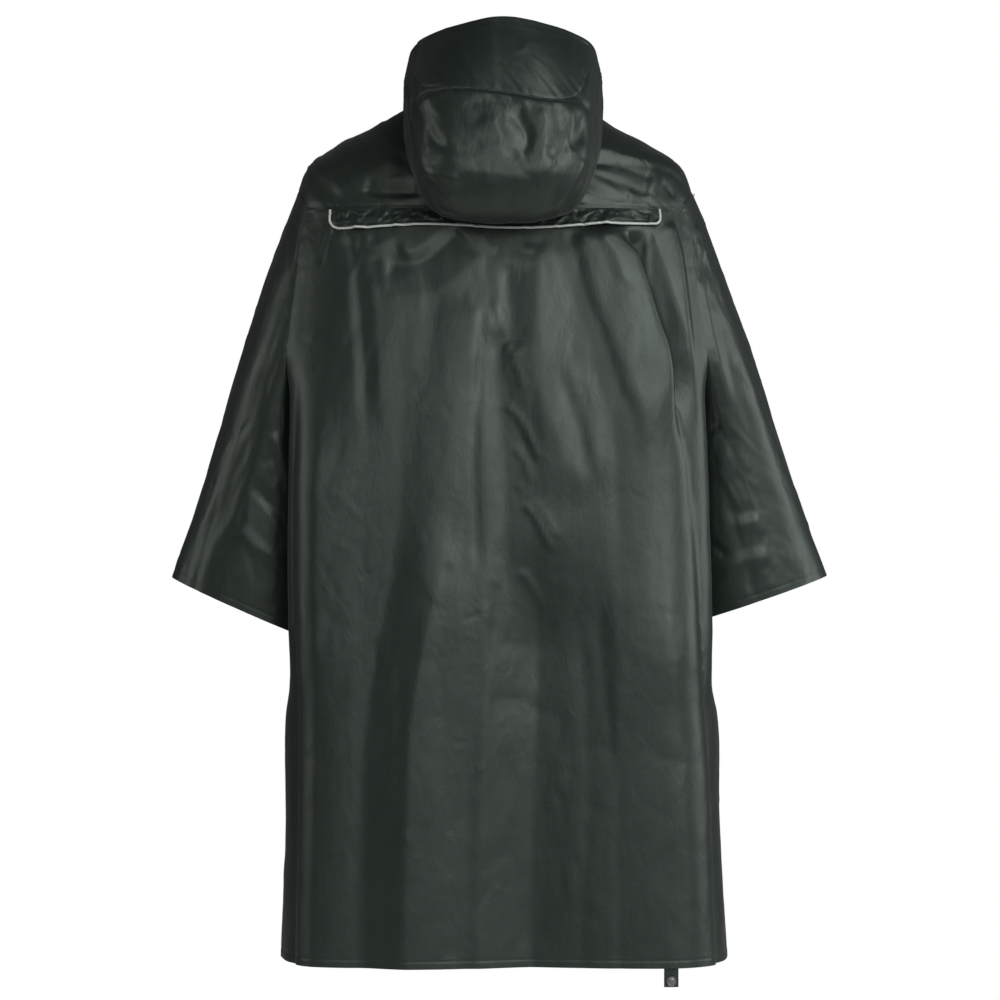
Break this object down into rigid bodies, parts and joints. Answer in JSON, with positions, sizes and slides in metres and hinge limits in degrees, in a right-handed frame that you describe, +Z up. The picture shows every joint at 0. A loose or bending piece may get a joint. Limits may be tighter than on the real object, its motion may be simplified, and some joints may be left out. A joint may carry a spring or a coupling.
{
  "type": "rain poncho",
  "caption": "Hooded rain poncho of thin coated nylon, filled out as worn, with a shoulder yoke, a piped back vent flap, wide sleeves and a snap tab at the hem.",
  "frame": {"origin": "base of the neck, midway between the shoulders, where a wearer carries it", "axes": "+Z up along the body, -Y the way the wearer faces, +X to the wearer's left"},
  "size_m": [0.851, 0.3825, 1.2165],
  "materials": {
    "shell": "satin coated nylon",
    "piping": "reflective",
    "snap": "satin"
  },
  "bodies": {
    "root": {"back_flap": "shell", "back_panel": "shell", "back_piping": "piping", "front_panel": "shell", "front_piping": "piping", "hem_snap": "snap", "hem_tab": "shell", "hood_bag": "shell", "hood_brim": "shell", "sleeve_left_outer": "shell", "sleeve_left_under": "shell", "sleeve_right_outer": "shell", "sleeve_right_under": "shell", "yoke": "shell"}
  },
  "joints": []
}
